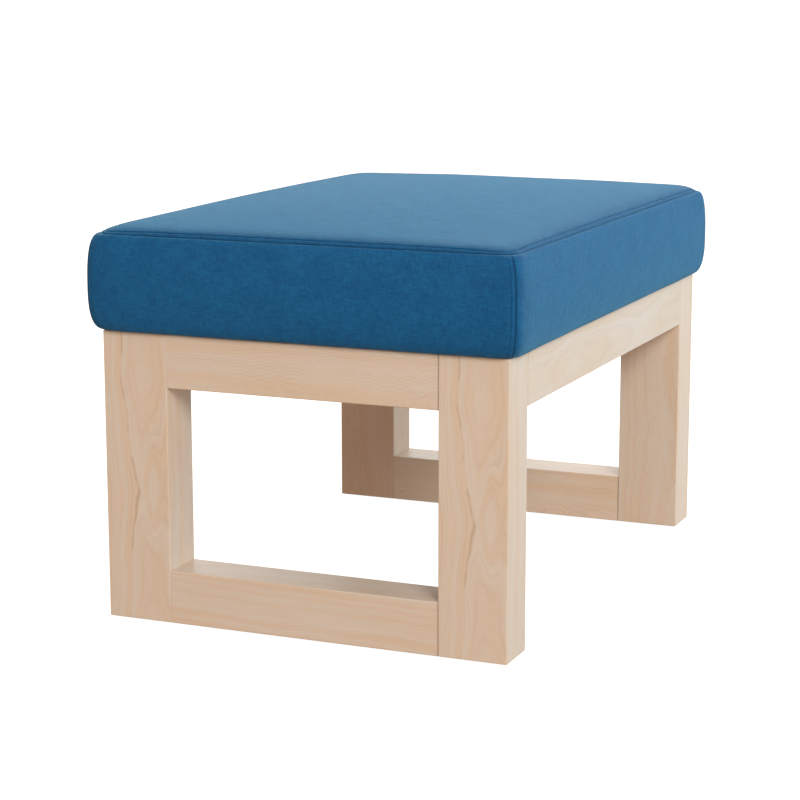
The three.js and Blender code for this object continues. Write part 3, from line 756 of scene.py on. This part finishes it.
def ripple(first, second, scale, seed):
    return noise.noise(Vector((first / scale, second / scale, seed)))


def near(distance, centre, width):
    return math.exp(-(((distance - centre) / width) ** 2))


def linkPiece(name, mesh, material):
    piece = bpy.data.objects.new(name, mesh)
    mesh.materials.append(material)
    sceneNow.collection.objects.link(piece)
    return piece


def thicken(piece, thickness):
    solid = piece.modifiers.new("thickness", "SOLIDIFY")
    solid.thickness = thickness
    solid.offset = -1
    solid.use_even_offset = False


# Steps across a panel: close together by the seams, then even
def stepsFrom(edgeSteps, total, even):
    steps = [step * mm for step in edgeSteps]
    count = max(2, round((total - 2 * steps[-1]) / even))
    middle = [steps[-1] + (total - 2 * steps[-1]) * i / count for i in range(1, count)]
    return steps + middle + [total - step for step in reversed(steps)]


def gridOf(columns, rows):
    bm = bmesh.new()
    # a float layer for the painted shade that darkens the cloth in its creases and by its edges
    bm.verts.layers.float.new("paintedShade")
    bm.loops.layers.uv.new("cloth")
    bmesh.ops.create_grid(bm, x_segments=len(columns) - 1, y_segments=len(rows) - 1, size=1)
    spots = {}
    for vert in bm.verts:
        i = round((vert.co.x + 1) / 2 * (len(columns) - 1))
        j = round((vert.co.y + 1) / 2 * (len(rows) - 1))
        spots[vert] = (columns[i], rows[j])
    return bm, spots


# New points along a folded edge, shaded as a fold so that the panel isn't lit like its flap
def foldFrom(bm, edges):
    for edge in edges:
        edge.smooth = False
    made = bmesh.ops.extrude_edge_only(bm, edges=edges)["geom"]
    return [part for part in made if isinstance(part, bmesh.types.BMVert)]


def layCloth(bm, placeOf):
    cloth = bm.loops.layers.uv["cloth"]
    for face in bm.faces:
        for loop in face.loops:
            loop[cloth].uv = placeOf(loop.vert)


def toMesh(name, bm):
    for face in bm.faces:
        face.smooth = True
    mesh = bpy.data.meshes.new(name)
    bm.to_mesh(mesh)
    bm.free()
    return mesh


# Small puckers just inside the seams, and slow waves further in
unevenness = {"start": 2 * mm, "pucker": 16 * mm, "puckerReach": 9 * mm, "waveReach": 25 * mm}


def pucker(depth, inset, spot, seed):
    free = 1 - math.exp(-inset / unevenness["start"])
    fade = math.exp(-inset / unevenness["puckerReach"])
    return free * depth * ripple(*spot, unevenness["pucker"], seed) * fade


def slowWave(depth, inset, spot, scale, seed):
    return depth * ripple(*spot, scale, seed) * min(1, inset / unevenness["waveReach"])


boxingLook = {
    "sideSteps": [0, 0.35, 0.7, 1.1, 1.6, 2.3, 3.1, 4, 4.6, 5.1, 5.5, 5.9, 6.4, 7.1, 8.2, 10, 12.5, 16, 20, 26],
    "seamSteps": [0, 0.35, 0.7, 1.1, 1.6, 2.3, 3.3, 4.6, 6.3, 8.5, 11.5, 15],
    "evenAlong": 8 * mm,
    "evenUp": 5 * mm,
    "hemWidth": 34 * mm,
    "hemRise": 0.4 * mm,
    "turnedIn": 5 * mm,
    "turnedDown": 0.6 * mm,
    "grooveShare": 0.6,
    "grooveEnd": 3 * mm,
    "tuckDepth": 0.7 * mm,
    "tuckReach": 2 * mm,
    "puckers": 0.30 * mm,
    "fullness": 0.7 * mm,
    "waveScale": 90 * mm,
    "shoulder": {"front": 1.6 * mm, "rear": 0.3 * mm},
    "shoulderReach": 20 * mm,
    "shoulderEnd": 11 * mm,
    # painted shade at the seam, in the stitch groove, at the tucked foot and on the boxing beside its corners
    "paintedShades": {"seam": 0.4, "groove": 0.75, "foot": 0.8, "corner": 0.14},
    "cornerReach": 24 * mm,
    "clothApart": 0.9,
}


def makeBoxing(name, side, panel, stitched):
    look = boxingLook
    half = halfBoxing(side)
    wide, high = 2 * half, wallSpan
    columns = stepsFrom(look["sideSteps"], wide, look["evenAlong"])
    rows = stepsFrom(look["seamSteps"], high, look["evenUp"])
    bm, spots = gridOf(columns, rows)
    outwards = {}
    for vert, (fromLeft, fromFoot) in spots.items():
        vert.co, outwards[vert] = boxingForm(side, fromLeft / half - 1, fromFoot / high)
    bm.normal_update()
    paintedShade, paintedShades = bm.verts.layers.float["paintedShade"], look["paintedShades"]
    moves = {}
    for vert, spot in spots.items():
        fromLeft, fromFoot = spot
        fromSide, fromSeam = min(fromLeft, wide - fromLeft), high - fromFoot
        atSide, atTop = (near(off, 0, stitching["seamWidth"]) for off in (fromSide, fromSeam))
        groove = near(fromSide, stitching["cornerInset"], stitching["grooveWidth"]) if stitched else 0.0
        groove *= look["grooveShare"] * (1 - near(fromSeam, 0, look["grooveEnd"]))
        tuck = near(fromFoot, 0, look["tuckReach"])
        inset = min(fromSide, fromSeam)
        inward = look["tuckDepth"] * tuck + stitching["grooveDepth"] * groove
        inward += pucker(look["puckers"], inset, spot, side + 3.0)
        inward += slowWave(look["fullness"], inset, spot, look["waveScale"], side + 7.0)
        # both panels at a seam are drawn in alike, so the seam stays shut
        seam = max(atSide, atTop)
        moves[vert] = -vert.normal * inward - outwards[vert] * stitching["seamRoll"] * seam
        u, v = fromLeft / half - 1, 2 * fromFoot / high - 1
        moves[vert] += fullnessAt(panel, u, v, vert.normal, min(inset, fromFoot))
        if not stitched:  # a side boxing swells out beside its corner seams, most at the front
            shoulder = look["shoulder"]["front" if vert.co.y < 0 else "rear"]
            share = fromSide / look["shoulderReach"]
            closeBy = 1 - math.exp(-min(fromSeam, fromFoot) / look["shoulderEnd"])
            moves[vert] += vert.normal * shoulder * share * math.exp(1 - share) * closeBy
        # painted shade: darker at the seams, in the stitch groove, at the foot and beside the corner seams
        shadeByCorner = paintedShades["corner"] * near(fromSide, 0, look["cornerReach"])
        deepestShade = max(paintedShades["seam"] * atTop, paintedShades["groove"] * groove, paintedShades["foot"] * tuck)
        vert[paintedShade] = max(atSide, deepestShade, shadeByCorner)
    for vert, move in moves.items():
        vert.co += move
    layCloth(bm, lambda vert: (spots[vert][0] + side * look["clothApart"], spots[vert][1]))
    tree = BVHTree.FromBMesh(bm)

    # the edges turn in at the seams, and the foot runs in under the board as a hem
    def rim(axis, at):
        def onRim(vert):
            return vert in spots and abs(spots[vert][axis] - at) < 0.0001 * mm

        return [edge for edge in bm.edges if edge.is_boundary and all(map(onRim, edge.verts))]

    sides = {"top": rim(1, high), "ends": rim(0, 0) + rim(0, wide), "foot": rim(1, 0)}
    for kind, edges in sides.items():
        for vert in foldFrom(bm, edges):
            signX, signY = math.copysign(1, vert.co.x), math.copysign(1, vert.co.y)
            square = Vector((0, signY, 0)) if side % 2 == 0 else Vector((signX, 0, 0))
            if kind == "ends":
                vert.co -= Vector((signX, signY, 0)).normalized() * look["turnedIn"]
            elif kind == "top":
                vert.co -= square * look["turnedIn"] + Vector((0, 0, look["turnedDown"]))
            else:
                vert.co -= square * look["hemWidth"]
                vert.co.z = form["frameTop"] + form["hemHeight"] + look["hemRise"]
    piece = linkPiece(name, toMesh(name, bm), coverCloth)
    thicken(piece, form["cloth"])
    return piece, tree


topLook = {
    "seamSteps": [0, 0.35, 0.7, 1.1, 1.6, 2.2, 2.8, 3.4, 3.9, 4.2, 4.5, 4.8, 5.2, 5.9, 7.2, 9, 12, 16, 21, 28],
    "even": 9 * mm,
    "turnedIn": 2.5 * mm,
    "flapRise": 0.3 * mm,
    "grooveShare": 0.8,
    "puckers": 0.35 * mm,
    "fullness": 0.45 * mm,
    "waveScale": 110 * mm,
    # painted shade in the stitch groove and along the top's rolled edge
    "paintedShades": {"groove": 0.75, "edge": 0.28},
    "edgeReach": 17 * mm,
}


def makeTopPanel(name, panel):
    look = topLook
    wide, long = (2 * half for half in seamHalf)
    bm, spots = gridOf(*(stepsFrom(look["seamSteps"], run, look["even"]) for run in (wide, long)))
    insets, outwards = {}, {}
    for vert, (x, y) in spots.items():
        vert.co, insets[vert], outwards[vert] = topForm(2 * x / wide - 1, 2 * y / long - 1)
    bm.normal_update()
    paintedShade, paintedShades = bm.verts.layers.float["paintedShade"], look["paintedShades"]
    layCloth(bm, lambda vert: vert.co.xy)
    moves = {}
    for vert, spot in spots.items():
        inset = insets[vert]
        seam = near(inset, 0, stitching["seamWidth"])
        groove = near(inset, stitching["topInset"], stitching["grooveWidth"] * look["grooveShare"])
        inward = stitching["grooveDepth"] * groove + pucker(look["puckers"], inset, spot, 1.0)
        inward += slowWave(look["fullness"], inset, spot, look["waveScale"], 2.0)
        moves[vert] = -vert.normal * inward - outwards[vert] * stitching["seamRoll"] * seam
        u, v = 2 * spot[0] / wide - 1, 2 * spot[1] / long - 1
        moves[vert] += fullnessAt(panel, u, v, vert.normal, inset)
        # painted shade: darker at the seam, in the stitch groove and along the rolled edge
        shadeByEdge = paintedShades["edge"] * near(inset, 0, look["edgeReach"])
        vert[paintedShade] = max(seam, paintedShades["groove"] * groove, shadeByEdge)
    for vert, move in moves.items():
        vert.co += move
    tree = BVHTree.FromBMesh(bm)
    for vert in foldFrom(bm, [edge for edge in bm.edges if edge.is_boundary]):
        vert.co -= Vector((vert.co.x, vert.co.y, 0)).normalized() * look["turnedIn"]
        vert.co.z = form["frameTop"] + form["seamHeight"] + look["flapRise"]
    piece = linkPiece(name, toMesh(name, bm), coverCloth)
    thicken(piece, form["cloth"])
    return piece, tree


def finishSoft(piece, nodes):
    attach(piece, "root")
    if nodes:
        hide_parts(*nodes)


coverTop, topTree = makeTopPanel("coverTopPanel", panels["top"])
finishSoft(coverTop, ["cover_top_panel"])
boxingTrees = {}
for side, where in enumerate(sideNames):
    name = "coverBoxing" + where.capitalize()
    piece, boxingTrees[where] = makeBoxing(name, side, panels[where], side % 2 == 0)
    finishSoft(piece, ["cover_boxing_" + where])
print("cover made")


# Topstitching in thread of the cover's own blue: one row round the top panel, and one beside
# each corner seam on the front and rear boxings
def makeThread():
    material, tree, surface = newMaterial("blueThread", {"Roughness": 0.7, "Specular IOR Level": 0.08})
    twist = noiseAt(tree, placeOn(tree), 2600, 2, 0.6)
    colour = blendColour(tree, twist, (0.004, 0.052, 0.135), (0.009, 0.105, 0.240))
    link(tree, colour, surface["Base Color"])
    addBump(tree, surface, twist, 0.3, 0.1 * mm)
    return material


def stitchPlaces(tree, line):
    total = sum((b - a).length for a, b in zip(line, line[1:]))
    pitch = total / round(total / (stitching["stitch"] + stitching["gap"]))
    size = Matrix.Diagonal((stitching["stitch"] / 2, stitching["thread"], stitching["thread"], 1))
    walked, nextAt, places = 0.0, pitch / 2, []
    for a, b in zip(line, line[1:]):
        span = (b - a).length
        while span > 0 and nextAt <= walked + span:
            spot, normal, _, _ = tree.find_nearest(a.lerp(b, (nextAt - walked) / span))
            along = (b - a).normalized()
            along = (along - normal * along.dot(normal)).normalized()
            turn = Matrix((along, normal.cross(along), normal)).transposed().to_4x4()
            places.append(Matrix.Translation(spot + normal * stitching["proud"]) @ turn @ size)
            nextAt += pitch
        walked += span
    return places


def makeTopstitching():
    inset = stitching["topInset"]
    alongTop, atCorner = stitching["guides"]
    first, last = stitching["cornerRow"]
    ringLine = []
    for side in range(4):
        for step in range(alongTop):
            travel, corner = 2 * step / alongTop - 1, form["seamCorner"] - inset
            point, _, _ = outlinePoint(side, travel, form["seamOffset"] - inset, corner)
            point.z = form["frameTop"] + crownHeight(point.x, point.y, inset)
            ringLine.append(point)
    places = stitchPlaces(topTree, ringLine + ringLine[:1])
    for side in (0, 2):
        for end in (-1, 1):
            travel = end * (1 - stitching["cornerInset"] / halfBoxing(side))
            lifts = [first + (last - first) * step / atCorner for step in range(atCorner + 1)]
            line = [boxingForm(side, travel, lift)[0] for lift in lifts]
            places += stitchPlaces(boxingTrees[sideNames[side]], line)
    rows = bmesh.new()
    batch = stitching["batch"]  # since a large bmesh makes each sphere slow
    for start in range(0, len(places), batch):
        bm = bmesh.new()
        for place in places[start : start + batch]:
            bmesh.ops.create_uvsphere(bm, u_segments=6, v_segments=4, radius=1, matrix=place)
        few = toMesh("fewStitches", bm)
        rows.from_mesh(few)
        bpy.data.meshes.remove(few)
    bmesh.ops.recalc_face_normals(rows, faces=rows.faces)
    return linkPiece("topstitching", toMesh("topstitching", rows), makeThread())


finishSoft(makeTopstitching(), [])
print("topstitching laid")


filling = {
    "topDrop": 1.4 * mm,
    "cornerDrop": 4 * mm,
    "cornerReach": 45 * mm,
    "from": 60 * mm,
    "rise": 40 * mm,
    "narrower": 0.994,
    "fold": math.radians(40),
}


# Foam and wadding: the solids, pressed in a little under the cloth, most at the top corners
def makeFilling(name, node, look):
    bm = bmesh.new()
    bm.from_mesh(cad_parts[node].data)
    bmesh.ops.remove_doubles(bm, verts=bm.verts, dist=0.001 * mm)
    for vert in bm.verts:
        away = math.hypot(*(run / 2 - abs(at) for run, at in zip(footprint, vert.co)))
        above = (vert.co.z - form["frameTop"] - filling["from"]) / filling["rise"]
        drop = filling["topDrop"] + filling["cornerDrop"] * near(away, 0, filling["cornerReach"])
        vert.co.z -= min(1.0, max(0.0, above)) * drop
        vert.co.xy *= filling["narrower"]
    mesh = toMesh(name, bm)
    mesh.set_sharp_from_angle(angle=filling["fold"])
    finishSoft(linkPiece(name, mesh, look), [node])


foamLook = makeCloudy("seatFoamCells", 0.9, (0.80, 0.73, 0.52), (0.86, 0.80, 0.62), 600, 0.4)
waddingLook = makeCloudy("polyesterWadding", 0.9, (0.85, 0.85, 0.83), (0.93, 0.93, 0.92), 400, 0.5)
makeFilling("seatFoam", "seat_foam", foamLook)
makeFilling("fibreWrap", "fibre_wrap", waddingLook)

lining = {
    "sag": 1.4 * mm,
    "wrinkle": 0.5 * mm,
    "wrinkleScale": 60 * mm,
    "flatPower": 4,
    "flatByBolt": 12 * mm,
    "looseByBolt": 62 * mm,
    "cell": 9 * mm,
    "hole": 5 * mm,
    "thickness": 0.5 * mm,
}


# Black lining cloth stapled up under the board, with a small hole for each seat bolt
def makeDustCover():
    low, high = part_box("dust_cover")
    bolts = []
    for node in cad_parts:
        if node.startswith("seat_bolt"):
            bolts.append(Vector([(a + b) / 2 for a, b in zip(*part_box(node))][:2]))
    half = lining["hole"] * math.sqrt(0.5)

    def linesAt(start, end, centres):
        edges = [centre + way * half for centre in centres for way in (-1, 1)]
        places = sorted({round(place, 6) for place in [start, end] + edges})
        out = [places[0]]
        for a, b in zip(places, places[1:]):
            count = max(1, round((b - a) / lining["cell"]))
            out += [a + (b - a) * i / count for i in range(1, count + 1)]
        return out

    def toBolt(point):
        return min((point.xy - bolt).length for bolt in bolts)

    lines = [linesAt(low[axis], high[axis], [bolt[axis] for bolt in bolts]) for axis in (0, 1)]
    bm, spots = gridOf(*lines)
    for vert, (x, y) in spots.items():
        vert.co = (x, y, 0)
    holes = [face for face in bm.faces if toBolt(face.calc_center_median()) < half / 2]
    bmesh.ops.delete(bm, geom=holes, context="FACES")
    rims = []
    for edge in bm.edges:
        if edge.is_boundary and toBolt((edge.verts[0].co + edge.verts[1].co) / 2) < 2 * half:
            rims.append(edge)
    bmesh.ops.subdivide_edges(bm, edges=rims, cuts=2)
    for vert in bm.verts:
        bolt = min(bolts, key=lambda b: (vert.co.xy - b).length)
        away = vert.co.xy - bolt
        if vert.is_boundary and away.length < 2 * half:
            vert.co.xy = bolt + away.normalized() * lining["hole"]
    bmesh.ops.triangulate(bm, faces=[f for f in bm.faces if len(f.verts) > 4])
    area = sum(face.calc_area() for face in bm.faces)
    middle, reach = (Vector(high) + Vector(low)) / 2, (Vector(high) - Vector(low)) / 2
    for vert in bm.verts:
        shares = [abs(vert.co[axis] - middle[axis]) / reach[axis] for axis in (0, 1)]
        looseX, looseY = (max(0.0, 1 - share ** lining["flatPower"]) for share in shares)
        awayShare = (toBolt(vert.co) - lining["flatByBolt"]) / (lining["looseByBolt"] - lining["flatByBolt"])
        loose = looseX * looseY * min(1.0, max(0.0, awayShare))
        wave = ripple(vert.co.x * 1.6, vert.co.y, lining["wrinkleScale"], 5.0) * lining["wrinkle"]
        vert.co.z = high[2] - loose * (lining["sag"] + wave)
    bmesh.ops.recalc_face_normals(bm, faces=bm.faces)
    upwards = sum(face.normal.z for face in bm.faces) > 0
    black = makeCloudy("blackLining", 0.9, (0.010, 0.010, 0.011), (0.026, 0.026, 0.028), 900, 0.3)
    piece = linkPiece("dustCover", toMesh("dustCover", bm), black)
    thicken(piece, lining["thickness"] if upwards else -lining["thickness"])
    finishSoft(piece, ["dust_cover"])


makeDustCover()
print("filling and lining made")

# Floor and light
studio = {
    "floor": (0.56, 0.45, 0.37),
    "floorHalf": 30,
    "floorGlow": 1.0,
    "floorShine": 0.28,
    "backdrop": 1.05,
    "shine": 1.2,
    "sky": 0.435,
    "skyTint": (1.0, 0.79, 0.64),
    "aim": (0, 0, 0.25),
}
# Azimuth and elevation in degrees, distance, size, power and tint
lights = {
    "key": (-48, 27, 9.0, 3.1, 530, (0.88, 0.96, 1.0)),
    "edge": (42, 14, 3.4, 2.6, 56, (0.41, 0.76, 0.98)),
    "above": (104, 42, 3.2, 2.0, 24, (0.72, 0.84, 0.90)),
}


def makeFloor():
    bm = bmesh.new()
    bmesh.ops.create_grid(bm, x_segments=8, y_segments=8, size=studio["floorHalf"])
    values = {"Roughness": 0.9, "Specular IOR Level": 0, "Emission Color": (1, 1, 1, 1)}
    values["Base Color"] = (*studio["floor"], 1)
    material, tree, surface = newMaterial("paleFloor", values)
    path = addNode(tree, "ShaderNodeLightPath")
    shine = times(tree, path.outputs["Is Glossy Ray"], studio["floorShine"])
    glow = scaled(tree, path.outputs["Is Camera Ray"], studio["floorGlow"], shine)
    link(tree, glow, surface["Emission Strength"])
    linkPiece("floor", toMesh("floor", bm), material)


def addLight(name, azimuth, elevation, distance, size, power, tint):
    data = bpy.data.lights.new(name, "AREA")
    data.shape = "SQUARE"
    data.size = size
    data.energy = power
    data.color = tint
    light = bpy.data.objects.new(name, data)
    turn, tilt = math.radians(azimuth), math.radians(elevation)
    reach = Vector((math.cos(turn) * math.cos(tilt), math.sin(turn) * math.cos(tilt), math.sin(tilt)))
    light.location = reach * distance + Vector(studio["aim"])
    light.rotation_euler = (-reach).to_track_quat("-Z", "Y").to_euler()
    sceneNow.collection.objects.link(light)


# The camera sees a white backdrop and so does anything shiny, while the room's own light is
# softer and warmer than that
def makeRoom():
    world = bpy.data.worlds.new("studio")
    world.use_nodes = True
    tree = world.node_tree
    room = tree.nodes["Background"]
    path = addNode(tree, "ShaderNodeLightPath")
    seen, shiny = path.outputs["Is Camera Ray"], path.outputs["Is Glossy Ray"]
    either = calc(tree, "MAXIMUM", seen, shiny)
    link(tree, blendColour(tree, either, studio["skyTint"], (1.0, 1.0, 1.0)), room.inputs["Color"])
    power = scaled(tree, seen, studio["backdrop"] - studio["sky"], studio["sky"])
    link(tree, scaled(tree, shiny, studio["shine"] - studio["sky"], power), room.inputs["Strength"])
    sceneNow.world = world


makeFloor()
for name, look in lights.items():
    addLight(name, *look)
makeRoom()
sceneNow.view_settings.view_transform = "Standard"
print("floor and lights set")
